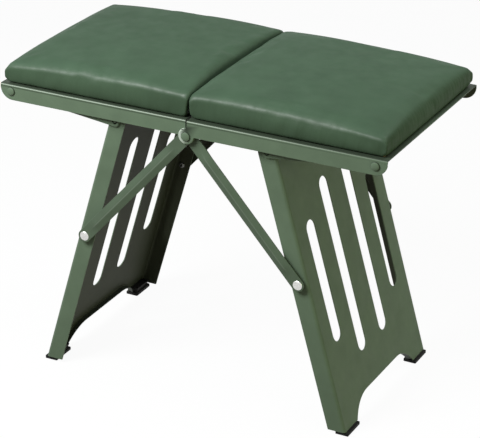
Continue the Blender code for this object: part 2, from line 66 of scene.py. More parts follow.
scene = bpy.context.scene
scene.view_settings.view_transform = "Standard"

# The camera stands two metres in front of the stool, round to its right and above the seat. Its long lens
# keeps the seat's edges nearly parallel, and it leans by half a degree.
CAMERA_AZIMUTH = math.radians(26.97)
CAMERA_ELEVATION = math.radians(24.71)
CAMERA_LEAN = math.radians(0.475)
CAMERA_DISTANCE = 2.1855
CAMERA_TARGET = Vector((0.0028, 0.0, 0.1568))
FOCAL_LENGTH_PIXELS = 2158.0
PHOTO_WIDTH_PIXELS = 480
SENSOR_WIDTH = 36.0

camera_back = Vector((math.sin(CAMERA_AZIMUTH) * math.cos(CAMERA_ELEVATION),
                      -math.cos(CAMERA_AZIMUTH) * math.cos(CAMERA_ELEVATION), math.sin(CAMERA_ELEVATION)))
camera_right = Vector((math.cos(CAMERA_AZIMUTH), math.sin(CAMERA_AZIMUTH), 0.0))
camera_turn = Matrix((camera_right, camera_back.cross(camera_right), camera_back)).transposed().to_4x4()
camera_data = bpy.data.cameras.new("camera")
camera_data.sensor_width = SENSOR_WIDTH
camera_data.lens = FOCAL_LENGTH_PIXELS / PHOTO_WIDTH_PIXELS * SENSOR_WIDTH
camera = bpy.data.objects.new("camera", camera_data)
camera.matrix_world = (Matrix.Translation(CAMERA_TARGET + camera_back * CAMERA_DISTANCE) @ camera_turn
                       @ Matrix.Rotation(CAMERA_LEAN, 4, "Z"))
scene.collection.objects.link(camera)
scene.camera = camera


# The studio: a pale floor and a white surround that the camera and reflections see as plain white, and soft
# boxes high in front of the stool, at its right and over the seat. The floor keeps a faint shadow, and a
# view from below looks through it.
FLOOR_HALF_SIZE = 3.0
FLOOR_COLOUR = (0.17, 0.125, 0.09, 1.0)
FLOOR_SHADOW_SHARE = 0.05
AMBIENT_COLOUR = (0.95, 0.98, 1.0, 1.0)
AMBIENT_STRENGTH = 0.20
WHITE = (1.0, 1.0, 1.0, 1.0)


def add_node(tree, kind, inputs=None, **settings):
    """Adds a node with its settings; an input takes a plain value, or another node's output."""
    made = tree.nodes.new(kind)
    for name, value in settings.items():
        setattr(made, name, value)
    for name, value in (inputs or {}).items():
        if isinstance(value, bpy.types.NodeSocket):
            tree.links.new(value, made.inputs[name])
        else:
            made.inputs[name].default_value = value
    return made


def calculate(tree, operation, *values):
    """The result of a Math node on plain values and outputs."""
    return add_node(tree, "ShaderNodeMath", dict(enumerate(values)), operation=operation).outputs[0]


def mix_shaders(tree, share, first, second):
    """Mixes two shader nodes; a share of 1 gives the second."""
    return add_node(tree, "ShaderNodeMixShader", {0: share, 1: first.outputs[0], 2: second.outputs[0]})


def seen_directly(tree):
    """1 for what the camera sees, also in a reflection or through glass, and 0 for light on the stool."""
    path = add_node(tree, "ShaderNodeLightPath")
    mirrored = calculate(tree, "MAXIMUM", path.outputs["Is Camera Ray"], path.outputs["Is Glossy Ray"])
    return calculate(tree, "MAXIMUM", mirrored, path.outputs["Is Transmission Ray"])


surround = bpy.data.worlds.new("surround")
surround.use_nodes = True
surround.node_tree.nodes.clear()
tree = surround.node_tree
ambient = add_node(tree, "ShaderNodeBackground", {"Color": AMBIENT_COLOUR, "Strength": AMBIENT_STRENGTH})
backdrop = add_node(tree, "ShaderNodeBackground", {"Color": WHITE, "Strength": 1.0})
sky = mix_shaders(tree, seen_directly(tree), ambient, backdrop)
add_node(tree, "ShaderNodeOutputWorld", {"Surface": sky.outputs[0]})
scene.world = surround

floor_finish = bpy.data.materials.new("pale_floor")
floor_finish.use_nodes = True
floor_finish.node_tree.nodes.clear()
tree = floor_finish.node_tree
boards = add_node(tree, "ShaderNodeBsdfDiffuse", {"Color": FLOOR_COLOUR})
shaded = add_node(tree, "ShaderNodeBsdfDiffuse", {"Color": WHITE})
plain = add_node(tree, "ShaderNodeEmission", {"Color": WHITE, "Strength": 1.0})
pale = mix_shaders(tree, FLOOR_SHADOW_SHARE, plain, shaded)
from_above = mix_shaders(tree, seen_directly(tree), boards, pale)
underside = add_node(tree, "ShaderNodeNewGeometry").outputs["Backfacing"]
open_view = add_node(tree, "ShaderNodeBsdfTransparent")
one_sided = mix_shaders(tree, underside, from_above, open_view)
add_node(tree, "ShaderNodeOutputMaterial", {"Surface": one_sided.outputs[0]})

floor_mesh = bpy.data.meshes.new("floor")
bm = bmesh.new()
bmesh.ops.create_grid(bm, x_segments=1, y_segments=1, size=FLOOR_HALF_SIZE)
bm.to_mesh(floor_mesh)
bm.free()
floor_mesh.materials.append(floor_finish)
floor = bpy.data.objects.new("floor", floor_mesh)
floor.location.z = cad_low.z
scene.collection.objects.link(floor)


def add_softbox(name, towards, distance, size, watts, colour):
    """A square lamp that stands off from the seat in a direction and faces it."""
    lamp = bpy.data.lights.new(name, "AREA")
    lamp.size = size
    lamp.energy = watts
    lamp.color = colour
    box = bpy.data.objects.new(name, lamp)
    aim = Vector(towards).normalized()
    box.location = CAMERA_TARGET + aim * distance
    box.rotation_mode = "QUATERNION"
    box.rotation_quaternion = aim.to_track_quat("Z", "Y")
    scene.collection.objects.link(box)


add_softbox("key_box", towards=(-0.33, -0.63, 0.70), distance=1.2, size=0.5,
            watts=15.4, colour=(0.98, 1.0, 1.0))
add_softbox("side_box", towards=(1.0, -0.20, 0.18), distance=1.8, size=1.0,
            watts=8.3, colour=(0.93, 1.0, 0.50))
add_softbox("top_box", towards=(0.40, 0.36, 0.84), distance=0.7, size=0.3,
            watts=1.25, colour=(0.98, 1.0, 1.0))


# Seat pans: each half is a pressed steel pan with a satin green powder coat. Its sides are folded down into
# rails, which end in a round corner and in a lobe for the hinge. The bends carry a painted highlight, partly
# rubbed paint.
SHEET = 0.0012
PAN_BEND = 0.0017
RAIL_END_RADIUS = 0.013
RAIL_STEPS = 14
CENTRE_GAP = 0.0009
# a painted shade line along each rail just under its bend, on rows of its own
SHADE_LINE = 0.0018
SHADE_LINE_ROWS = 3
SHADE_LINE_SPAN = (0.2, 0.8)
SHADE_LINE_DARKNESS = 0.62
# painted highlight along the bend, partly standing for rubbed paint: the angles it spans and its strength
BEND_HIGHLIGHT = (math.radians(8.0), math.radians(38.0))
LOBE_HIGHLIGHT = 1.0
RAIL_HIGHLIGHT = 0.66
# how strong the painted highlight and the painted shade line stay at each rail's end
LINES_AT_END = {"left": 0.9, "right": 0.1}
# painted highlight on the lobe's rim, on its left side only, where the light falls
LOBE_LIT_SIDE = -0.002
LOBE_ROUND = 0.0010
# painted shade on the hinge edges, and on the web's top in the pads' shadow
HINGE_SHADE = 1.0
WEB_SHADE = 0.80
WEB_SHADE_MIDDLE = 0.25
WEB_SHADE_FROM = math.radians(40.0)
EDGE_ROUND = 0.00028
CUT_EDGE = math.radians(60.0)
RUB_TURN = (math.radians(26.0), math.radians(42.0))
SAME_PLACE = 1e-6
MERGE_DISTANCE = 1e-5
PAINT_COLOUR = (0.116, 0.166, 0.109, 1.0)
# painted shade: the sheets' inner faces are coloured darker and browner, as they fall in shade
PAINT_INNER_SHADE_COLOUR = (0.057, 0.066, 0.042, 1.0)
PAINT_WORN_COLOUR = (0.20, 0.25, 0.19, 1.0)
# colour of the painted highlight on the bends, the lobe rims and the brace crests
PAINT_HIGHLIGHT_COLOUR = (0.46, 0.53, 0.45, 1.0)
# colour of the painted shade in dark lines, gaps, recesses and shaded parts
PAINT_SHADE_COLOUR = (0.022, 0.028, 0.020, 1.0)
PAINT_ROUGHNESS = (0.38, 0.50)
PAINT_INNER_ROUGHNESS = 0.58
PAINT_GLOSS = 0.12


def new_group(name, inputs, outputs):
    """A shader group with its sockets, and its input and output nodes."""
    group = bpy.data.node_groups.new(name, "ShaderNodeTree")
    for label, kind in inputs.items():
        group.interface.new_socket(label, in_out="INPUT", socket_type=kind)
    for label, kind in outputs.items():
        group.interface.new_socket(label, in_out="OUTPUT", socket_type=kind)
    return group, group.nodes.new("NodeGroupInput"), group.nodes.new("NodeGroupOutput")


def attribute(tree, name):
    """A value that the piece's points or faces carry."""
    return add_node(tree, "ShaderNodeAttribute", attribute_name=name).outputs["Fac"]


def object_noise(tree, size, detail=3.0):
    """Noise on the piece's own coordinates; size is its grain in metres, as a value or an output."""
    place = add_node(tree, "ShaderNodeTexCoord")
    if isinstance(size, bpy.types.NodeSocket):
        scale = calculate(tree, "DIVIDE", 1.0, size)
    else:
        scale = 1.0 / size
    return add_node(tree, "ShaderNodeTexNoise", {"Vector": place.outputs["Object"], "Scale": scale,
                                                 "Detail": detail}).outputs["Fac"]


def spread(tree, value, low, high, start=0.3, stop=0.7):
    """Spreads a value between two levels; start and stop are the ends of the stretch that counts."""
    return add_node(tree, "ShaderNodeMapRange", {"Value": value, "From Min": start, "From Max": stop,
                                                 "To Min": low, "To Max": high}).outputs["Result"]


# Clouding shared by the finishes: a colour goes a little lighter and darker from place to place
clouding, taken, given = new_group("clouding", {"Colour": "NodeSocketColor", "Depth": "NodeSocketFloat",
                                                "Size": "NodeSocketFloat"}, {"Colour": "NodeSocketColor"})
cloud = spread(clouding, object_noise(clouding, taken.outputs["Size"]), low=-1.0, high=1.0)
swing = calculate(clouding, "MULTIPLY_ADD", cloud, taken.outputs["Depth"], 1.0)
toned = add_node(clouding, "ShaderNodeHueSaturation", {"Color": taken.outputs["Colour"], "Value": swing})
clouding.links.new(toned.outputs[0], given.inputs["Colour"])

# Rubbing shared by the finishes: a broken mask along the edges that handling wears
rubbing, taken, given = new_group("rubbing", {"Size": "NodeSocketFloat"}, {"Mask": "NodeSocketFloat"})
grain = object_noise(rubbing, taken.outputs["Size"])
breaks = spread(rubbing, grain, low=0.0, high=1.0, start=0.42, stop=0.62)
edge_mark = calculate(rubbing, "MULTIPLY", attribute(rubbing, "rub"), breaks)
rubbing.links.new(edge_mark, given.inputs["Mask"])


def clouded(tree, colour, depth, size):
    """A colour with clouds of a depth and a size."""
    return add_node(tree, "ShaderNodeGroup", {"Colour": colour, "Depth": depth, "Size": size},
                    node_tree=clouding).outputs["Colour"]


def rubbed(tree, size):
    """The mask of the rubbed edges, in breaks of a size."""
    return add_node(tree, "ShaderNodeGroup", {"Size": size}, node_tree=rubbing).outputs["Mask"]


def mix_colours(tree, share, first, second):
    """Mixes two colours; a share of 1 gives the second."""
    return add_node(tree, "ShaderNodeMix", {0: share, 6: first, 7: second}, data_type="RGBA").outputs[2]


def new_finish(name):
    """A material with its tree and its Principled shader."""
    material = bpy.data.materials.new(name)
    material.use_nodes = True
    return material, material.node_tree, material.node_tree.nodes["Principled BSDF"]


def add_bump(tree, shader, height, strength, distance):
    """Gives a finish a fine relief."""
    bump = add_node(tree, "ShaderNodeBump", {"Height": height, "Strength": strength, "Distance": distance})
    tree.links.new(bump.outputs[0], shader.inputs["Normal"])


paint, tree, shader = new_finish("green_powder_coat")
inside = attribute(tree, "inside")
# painted shade: inner faces take the darker, browner colour
inside_shaded = mix_colours(tree, inside, PAINT_COLOUR, PAINT_INNER_SHADE_COLOUR)
tone = clouded(tree, inside_shaded, depth=0.07, size=0.022)
coat = mix_colours(tree, rubbed(tree, size=0.006), tone, PAINT_WORN_COLOUR)
# painted highlight: bends, lobe rims and brace crests take a pale colour
highlighted = mix_colours(tree, attribute(tree, "painted_highlight"), coat, PAINT_HIGHLIGHT_COLOUR)
# painted shade: dark lines, gaps, recesses and shaded parts take a near-black colour
with_painted_shade = mix_colours(tree, attribute(tree, "painted_shade"), highlighted, PAINT_SHADE_COLOUR)
tree.links.new(with_painted_shade, shader.inputs["Base Color"])
shader.inputs["Specular IOR Level"].default_value = PAINT_GLOSS
outer_roughness = spread(tree, object_noise(tree, size=0.009), *PAINT_ROUGHNESS)
roughness = spread(tree, inside, outer_roughness, PAINT_INNER_ROUGHNESS, start=0.0, stop=1.0)
tree.links.new(roughness, shader.inputs["Roughness"])
add_bump(tree, shader, object_noise(tree, size=0.0011, detail=2.0), strength=0.16, distance=0.0002)


def arc(centre, radius, start, stop, steps):
    """Points along an arc, with its angles in degrees."""
    angles = [math.radians(start + (stop - start) * i / steps) for i in range(steps + 1)]
    return [(centre[0] + radius * math.cos(a), centre[1] + radius * math.sin(a)) for a in angles]


def points_of(geom):
    """The points among what a bmesh operator gives."""
    return [g for g in geom if isinstance(g, bmesh.types.BMVert)]


def edges_of(geom):
    """The edges among what a bmesh operator gives."""
    return [g for g in geom if isinstance(g, bmesh.types.BMEdge)]


def cut_sheet(bm, outline, place, holes=()):
    """Fills a flat outline, with its holes left open, as a sheet is cut; place maps (u, v) to a point."""
    rims = []
    for loop in (outline, *holes):
        verts = [bm.verts.new(place(u, v)) for u, v in loop]
        rims += [bm.edges.new(pair) for pair in zip(verts, verts[1:] + verts[:1])]
    bmesh.ops.triangle_fill(bm, use_beauty=True, use_dissolve=False, edges=rims)


def edges_where(bm, test):
    """The border edges whose two ends both pass a test."""
    return [e for e in bm.edges if len(e.link_faces) < 2 and all(test(v.co) for v in e.verts)]


def fold(bm, edges, hinge, axis, angle, steps=6):
    """Folds a sheet's edges round a bend and gives the edges at the far end of the bend."""
    ends = list({v for e in edges for v in e.verts})
    made = bmesh.ops.spin(bm, geom=edges + ends, cent=hinge, axis=axis, angle=angle, steps=steps)
    return edges_of(made["geom_last"])


def draw_out(bm, edges, vector):
    """Extends a sheet from its edges and gives the new edges."""
    made = bmesh.ops.extrude_edge_only(bm, edges=edges)["geom"]
    bmesh.ops.translate(bm, vec=vector, verts=points_of(made))
    return edges_of(made)


def sharp_edges(bm, angle):
    """The edges where two faces meet at more than an angle."""
    return [e for e in bm.edges if e.calc_face_angle(0.0) > angle]


def round_off(bm, geom, radius, segments, affect="EDGES"):
    """Rounds edges, or the corners of a flat sheet, and gives what is made."""
    return bmesh.ops.bevel(bm, geom=geom, offset=radius, affect=affect, segments=segments,
                           profile=0.5, material=-1)


def round_cut_edges(bm, thickness, edge_round, is_soft=None):
    """Gives a sheet its thickness, inwards from its outer face, and rounds its edges, the soft ones more."""
    layer = bm.faces.layers.float.new("inside")
    outer = set(bm.verts)
    bmesh.ops.solidify(bm, geom=bm.faces[:], thickness=thickness)
    bm.normal_update()
    for face in bm.faces:
        face[layer] = float(not any(v in outer for v in face.verts))
    rims = sharp_edges(bm, CUT_EDGE)
    soft = [e for e in rims if is_soft and is_soft(e)]
    round_off(bm, [e for e in rims if e not in soft], edge_round, segments=2)
    soft = [e for e in soft if e.is_valid]
    if soft:
        # the lobe's rounded rim gets a painted highlight on its left side
        edge_mark = round_off(bm, soft, LOBE_ROUND, segments=3)
        painted_highlight = bm.verts.layers.float["painted_highlight"]
        for vert in edge_mark["verts"]:
            vert[painted_highlight] = LOBE_HIGHLIGHT * float(vert.co.x < LOBE_LIT_SIDE)
    bmesh.ops.dissolve_degenerate(bm, dist=SAME_PLACE, edges=bm.edges)


def thicken(bm, sign, thickness, edge_round, is_soft=None):
    """Mirrors a folded sheet to its side and gives it its thickness and its rounded edges."""
    bmesh.ops.scale(bm, vec=(sign, 1.0, 1.0), verts=bm.verts)
    bmesh.ops.remove_doubles(bm, verts=bm.verts, dist=SAME_PLACE)
    bmesh.ops.recalc_face_normals(bm, faces=bm.faces)
    round_cut_edges(bm, thickness, edge_round, is_soft)


def mark_rubbed_edges(bm):
    """Stores how sharply the surface turns outwards at each point, where handling rubs the finish."""
    bm.normal_update()
    layer = bm.verts.layers.float.new("rub")
    least, full = RUB_TURN
    for vert in bm.verts:
        turn = max((e.calc_face_angle_signed(0.0) for e in vert.link_edges), default=0.0)
        on_flat = any(len(f.verts) == 3 for f in vert.link_faces)
        vert[layer] = 0.0 if on_flat else min(1.0, max(0.0, (turn - least) / (full - least)))


def add_piece(name, bm, material, body, nodes):
    """Makes a finished piece that rides on its body and stands for its solids."""
    mark_rubbed_edges(bm)
    mesh = bpy.data.meshes.new(name)
    bm.to_mesh(mesh)
    bm.free()
    mesh.shade_smooth()
    mesh.materials.append(material)
    piece = bpy.data.objects.new(name, mesh)
    scene.collection.objects.link(piece)
    even = piece.modifiers.new("flat_faces", "WEIGHTED_NORMAL")
    even.keep_sharp = True
    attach(piece, body)
    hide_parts(*nodes)
    return piece


for side, sign in SIDES.items():
    low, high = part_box(side + "_seat_pan")
    half_length = max(-low.x, high.x)
    half_depth = high.y
    seat_top = high.z
    lobe_radius = min(-low.x, high.x)
    rail_low = low.z + lobe_radius
    bend_low = seat_top - PAN_BEND
    web_edge = PAN_BEND - half_depth

    corner = (half_length - RAIL_END_RADIUS, rail_low + RAIL_END_RADIUS)
    rail_top = bend_low - SHADE_LINE
    lobe_top = math.degrees(math.acos(CENTRE_GAP / lobe_radius)) - 360.0
    steps = [i / RAIL_STEPS for i in range(RAIL_STEPS + 1)]
    rail = [(CENTRE_GAP + (half_length - CENTRE_GAP) * t, rail_top) for t in steps]
    rail += arc(corner, RAIL_END_RADIUS, 0.0, -90.0, steps=10)
    rail += [(corner[0] + (lobe_radius - corner[0]) * t, rail_low) for t in steps[1:-1]]
    rail += arc((0.0, rail_low), lobe_radius, 0.0, lobe_top, steps=26)

    bm = bmesh.new()
    cut_sheet(bm, rail, lambda u, v: Vector((u, -half_depth, v)))
    upper = edges_where(bm, lambda p: abs(p.z - rail_top) < SAME_PLACE)
    for _ in range(SHADE_LINE_ROWS):
        upper = draw_out(bm, upper, Vector((0.0, 0.0, SHADE_LINE / SHADE_LINE_ROWS)))
    hinge = Vector((0.0, web_edge, bend_low))
    shoulder = fold(bm, upper, hinge, Vector((1.0, 0.0, 0.0)), -math.pi / 2)
    draw_out(bm, shoulder, Vector((0.0, -web_edge, 0.0)))
    everything = bm.verts[:] + bm.edges[:] + bm.faces[:]
    bmesh.ops.mirror(bm, geom=everything, axis="Y", merge_dist=MERGE_DISTANCE)

    lobe_middle = Vector((0.0, rail_low))

    def on_lobe_rim(edge):
        """Whether an edge lies on the outer rim of a hinge lobe."""
        return all(abs((v.co.xz - lobe_middle).length - lobe_radius) < MERGE_DISTANCE
                   and abs(v.co.y) > half_depth - MERGE_DISTANCE for v in edge.verts)

    for label in ("painted_highlight", "painted_shade"):
        bm.verts.layers.float.new(label)
    thicken(bm, sign, SHEET, EDGE_ROUND, on_lobe_rim)
    painted_highlight = bm.verts.layers.float["painted_highlight"]
    painted_shade = bm.verts.layers.float["painted_shade"]
    for vert in bm.verts:
        out, rise = web_edge + abs(vert.co.y), vert.co.z - bend_low
        line_strength = 1.0 + (LINES_AT_END[side] - 1.0) * min(1.0, abs(vert.co.x) / half_length)
        slope = math.atan2(rise, out)
        # painted highlight on the bend's outer curve
        if out > SAME_PLACE and rise > SAME_PLACE and math.hypot(out, rise) > PAN_BEND - SHEET / 2:
            vert[painted_highlight] = RAIL_HIGHLIGHT * line_strength * (BEND_HIGHLIGHT[0] < slope < BEND_HIGHLIGHT[1])
        # painted shade line under the bend
        on_line = SHADE_LINE_SPAN[0] < (vert.co.z - rail_top) / SHADE_LINE < SHADE_LINE_SPAN[1]
        # painted shade on the web's top, where the pad shades it, and on the hinge edges
        web_shade = WEB_SHADE if abs(vert.co.y) > half_depth / 2 else WEB_SHADE_MIDDLE
        web_shade *= rise > SAME_PLACE and slope > WEB_SHADE_FROM
        at_hinge = abs(vert.co.x) < CENTRE_GAP + EDGE_ROUND / 2 and vert.co.z > rail_low
        vert[painted_shade] = max(SHADE_LINE_DARKNESS * line_strength * on_line, web_shade, HINGE_SHADE * at_hinge)
    add_piece(side + "_pan", bm, paint, side + "_seat", [side + "_seat_pan"])


# Pad boards: a plywood panel inside each pad, which the screws from below pull down on the pan. It is hidden
# between the pan and the cover, so the solid keeps its plain shape and gets its wood.
PLY_COLOUR = (0.47, 0.33, 0.19, 1.0)
PLY_DARK_COLOUR = (0.30, 0.19, 0.10, 1.0)
PLY_GRAIN = (6.0, 160.0, 900.0)


def stretched_noise(tree, scale, detail):
    """Noise drawn out along the piece's own axes; scale is its grains to the metre along each."""
    place = add_node(tree, "ShaderNodeTexCoord")
    stretch = add_node(tree, "ShaderNodeMapping", {"Vector": place.outputs["Object"], "Scale": scale})
    return add_node(tree, "ShaderNodeTexNoise", {"Vector": stretch.outputs[0], "Scale": 1.0,
                                                 "Detail": detail}).outputs["Fac"]


plywood, tree, shader = new_finish("birch_plywood")
grain = stretched_noise(tree, PLY_GRAIN, detail=4.0)
layers = spread(tree, grain, low=0.0, high=1.0)
tree.links.new(mix_colours(tree, layers, PLY_COLOUR, PLY_DARK_COLOUR), shader.inputs["Base Color"])
tree.links.new(spread(tree, grain, low=0.65, high=0.85), shader.inputs["Roughness"])
add_bump(tree, shader, layers, strength=0.2, distance=0.0003)


def refinish(node, material):
    """Gives a solid that keeps its shape another finish."""
    slots = frame["nodes"][node].data.materials
    slots.clear()
    slots.append(material)


for side in SIDES:
    refinish(side + "_pad_board", plywood)


# Pads: foam on the board under a tight green leatherette cover, pulled down all round and tucked in at the
# foot. The middle is crowned, the edges bulge, the corners are drawn square and the front walls pucker.
PAD_SHRINK = 0.0010
PAD_PLAN_CORNER = 0.0020
PAD_TOP_ROUND = 0.0055
PAD_FOOT_ROUND = 0.0026
PAD_HINGE_HEIGHT = 0.0248
PAD_END_HEIGHT = 0.0195
PAD_EDGE_BULGE = 0.0050
PAD_CROWN = 0.0040
PAD_VOXEL = 0.0040
PAD_PRESSURE = 4.0
PAD_FRAMES = 20
PAD_SWELL_LIMIT = 0.0016
PAD_CORNER_PULL = 0.0030
PAD_HINGE_PULL = 0.0034
PAD_HINGE_PUSH = 0.0003
PAD_HINGE_CORNER_PUSH = 0.0028
PAD_END_TUCK = 0.0004
PAD_PUCKER = 0.0010
PAD_PUCKER_LENGTH = 0.010
PAD_FOOT_WAVE = 0.0030
PAD_FOOT_WAVE_LENGTH = 0.016
PAD_WALL_SLOPE = 0.92
PAD_WALL_SPREAD = 0.50
PAD_RIM_SLOPE = 0.70
PAD_RIM_SPREAD = 0.28
PAD_RIM_WAVE = 0.0008
PAD_RIM_WAVE_LENGTH = 0.012
PAD_UPRIGHT_FADE = 1.4
PAD_FRONT_REACH = 1.6
# painted light and shade: the same leatherette is coloured lighter on the top than on the walls
LEATHER_LIT_TOP_COLOUR = (0.056, 0.097, 0.060, 1.0)
LEATHER_SHADED_WALL_COLOUR = (0.050, 0.083, 0.050, 1.0)
LEATHER_GRAIN = 0.0011
LEATHER_PEBBLES = 0.5
LEATHER_FOLDS = (160.0, 160.0, 22.0)
LEATHER_DRAPE = 16.0
LEATHER_GLOSS = 0.03
LEATHER_SHEEN_ROUGHNESS = 0.45

leather, tree, shader = new_finish("green_leatherette")
wall = attribute(tree, "wall")
# painted light and shade: lighter top, darker walls
lit_and_shaded_hide = mix_colours(tree, wall, LEATHER_LIT_TOP_COLOUR, LEATHER_SHADED_WALL_COLOUR)
tree.links.new(clouded(tree, lit_and_shaded_hide, depth=0.08, size=0.030), shader.inputs["Base Color"])
tree.links.new(spread(tree, object_noise(tree, size=0.012), low=0.44, high=0.56), shader.inputs["Roughness"])
patchy = spread(tree, object_noise(tree, size=0.007), low=0.40, high=0.90)
tree.links.new(calculate(tree, "MULTIPLY", attribute(tree, "rim"), patchy), shader.inputs["Coat Weight"])
shader.inputs["Coat Roughness"].default_value = LEATHER_SHEEN_ROUGHNESS
shader.inputs["Specular IOR Level"].default_value = LEATHER_GLOSS
drape = calculate(tree, "MULTIPLY", stretched_noise(tree, LEATHER_FOLDS, detail=2.0), wall)
place = add_node(tree, "ShaderNodeTexCoord").outputs["Object"]
pebbles = add_node(tree, "ShaderNodeTexVoronoi", {"Vector": place, "Scale": 1.0 / LEATHER_GRAIN},
                   feature="SMOOTH_F1").outputs["Distance"]
creases = object_noise(tree, size=0.004, detail=4.0)
skin = calculate(tree, "MULTIPLY_ADD", pebbles, LEATHER_PEBBLES, creases)
relief = calculate(tree, "MULTIPLY_ADD", drape, LEATHER_DRAPE, skin)
add_bump(tree, shader, relief, strength=0.14, distance=0.0003)


def swell(piece, pinned_below):
    """Blows the cover up against its foot like filled cloth, and keeps the result within the swell limit."""
    start = [v.co.copy() for v in piece.data.vertices]
    foot = piece.vertex_groups.new(name="foot")
    foot.add([v.index for v in piece.data.vertices if v.co.z < pinned_below], 1.0, "REPLACE")
    cloth = piece.modifiers.new("cover", "CLOTH")
    cloth.settings.quality = 6
    cloth.settings.mass = 0.2
    cloth.settings.tension_stiffness = 30.0
    cloth.settings.compression_stiffness = 30.0
    cloth.settings.shear_stiffness = 15.0
    cloth.settings.bending_stiffness = 3.0
    cloth.settings.use_pressure = True
    cloth.settings.uniform_pressure_force = PAD_PRESSURE
    cloth.settings.vertex_group_mass = foot.name
    cloth.settings.effector_weights.gravity = 0.0
    for step in range(1, PAD_FRAMES + 1):
        scene.frame_set(step)
    filled = piece.evaluated_get(bpy.context.evaluated_depsgraph_get())
    moved = [v.co.copy() for v in filled.data.vertices]
    piece.modifiers.remove(cloth)
    piece.vertex_groups.clear()
    for vertex, old, new in zip(piece.data.vertices, start, moved):
        travel = new - old
        vertex.co = old + travel * min(1.0, PAD_SWELL_LIMIT / max(travel.length, SAME_PLACE))
    scene.frame_set(1)


def midway(first, second):
    """1 where a surface faces half-way between two directions, and 0 where it faces either."""
    return 4.0 * (first * second) ** 2


for side, sign in SIDES.items():
    low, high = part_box(side + "_pad_cover")
    hinge_x = min(abs(low.x), abs(high.x))
    end_x = max(abs(low.x), abs(high.x))
    half_x = (end_x - hinge_x) / 2
    middle_x = sign * (end_x + hinge_x) / 2
    half_y = (high.y - low.y) / 2
    pad_low = low.z

    bm = bmesh.new()
    bmesh.ops.create_cube(bm, size=1.0)
    size = Vector((2 * (half_x - PAD_SHRINK), 2 * (half_y - PAD_SHRINK), PAD_END_HEIGHT - PAD_SHRINK))
    bmesh.ops.scale(bm, vec=size, verts=bm.verts)
    bmesh.ops.translate(bm, vec=(middle_x, 0.0, pad_low + size.z / 2), verts=bm.verts)
    upright = [e for e in bm.edges if abs(e.verts[0].co.z - e.verts[1].co.z) > size.z / 2]
    round_off(bm, upright, PAD_PLAN_CORNER, segments=3)
    for level, roundness in ((pad_low + size.z, PAD_TOP_ROUND), (pad_low, PAD_FOOT_ROUND)):
        rim = [e for e in bm.edges if all(abs(v.co.z - level) < SAME_PLACE for v in e.verts)]
        round_off(bm, rim, roundness, segments=4)
    mesh = bpy.data.meshes.new(side + "_pad")
    bm.to_mesh(mesh)
    bm.free()
    pad = bpy.data.objects.new(side + "_pad", mesh)
    scene.collection.objects.link(pad)
    voxels = pad.modifiers.new("voxels", "REMESH")
    voxels.mode = "VOXEL"
    voxels.voxel_size = PAD_VOXEL
    pad.data = bpy.data.meshes.new_from_object(pad.evaluated_get(bpy.context.evaluated_depsgraph_get()))
    pad.modifiers.remove(voxels)

    for vertex in pad.data.vertices:
        u = max(-1.0, min(1.0, sign * (vertex.co.x - middle_x) / half_x))
        v = min(1.0, abs(vertex.co.y) / half_y)
        rise = (vertex.co.z - pad_low) / size.z
        lift = (PAD_HINGE_HEIGHT - PAD_END_HEIGHT) * (1.0 - u) / 2
        lift += PAD_EDGE_BULGE * (1.0 - (u * v) ** 2) + PAD_CROWN * (1.0 - u * u) * (1.0 - v * v)
        vertex.co.z += lift * rise * rise * (3.0 - 2.0 * rise)
    swell(pad, pad_low + PAD_FOOT_ROUND)
    rim = pad.data.attributes.new("rim", "FLOAT", "POINT")
    wall = pad.data.attributes.new("wall", "FLOAT", "POINT")
    for vertex in pad.data.vertices:
        normal = vertex.normal.copy()
        along = Vector((vertex.co.x, vertex.co.y, 0.0))
        rise = max(0.0, min(1.0, (vertex.co.z - pad_low) / PAD_HINGE_HEIGHT))
        upright = max(0.0, 1.0 - abs(normal.z) * PAD_UPRIGHT_FADE)
        edge = max(0.0, 1.0 - ((normal.z - PAD_RIM_SLOPE) / PAD_RIM_SPREAD) ** 2)
        facing_hinge = max(0.0, -sign * normal.x)
        facing_front = min(1.0, max(0.0, -normal.y) * PAD_FRONT_REACH)
        pull = PAD_CORNER_PULL * midway(normal.x, normal.y)
        pull += PAD_HINGE_PULL * midway(facing_hinge, max(0.0, normal.z))
        pucker = PAD_PUCKER * noise.noise(along / PAD_PUCKER_LENGTH) * math.sin(math.pi * rise)
        pucker += PAD_FOOT_WAVE * noise.noise(along / PAD_FOOT_WAVE_LENGTH) * (1.0 - rise) ** 2
        wave = PAD_RIM_WAVE * noise.noise(along / PAD_RIM_WAVE_LENGTH) * facing_front
        vertex.co += normal * (pull + pucker * upright * facing_front + wave * edge)
        vertex.co.x -= sign * PAD_END_TUCK * (1.0 - rise) ** 2 * max(0.0, sign * normal.x)
        straighten = PAD_HINGE_PUSH + PAD_HINGE_CORNER_PUSH * (vertex.co.y / half_y) ** 2
        vertex.co.x -= sign * straighten * facing_hinge * rise
        rim.data[vertex.index].value = edge * facing_front
        wall.data[vertex.index].value = min(1.0, max(0.0, (PAD_WALL_SLOPE - normal.z) / PAD_WALL_SPREAD))
    pad.data.name = side + "_pad"
    pad.data.materials.append(leather)
    pad.data.shade_smooth()
    finer = pad.modifiers.new("finer", "SUBSURF")
    finer.levels = 1
    finer.render_levels = 1
    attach(pad, side + "_seat")
    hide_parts(side + "_pad_cover", side + "_pad_foam")


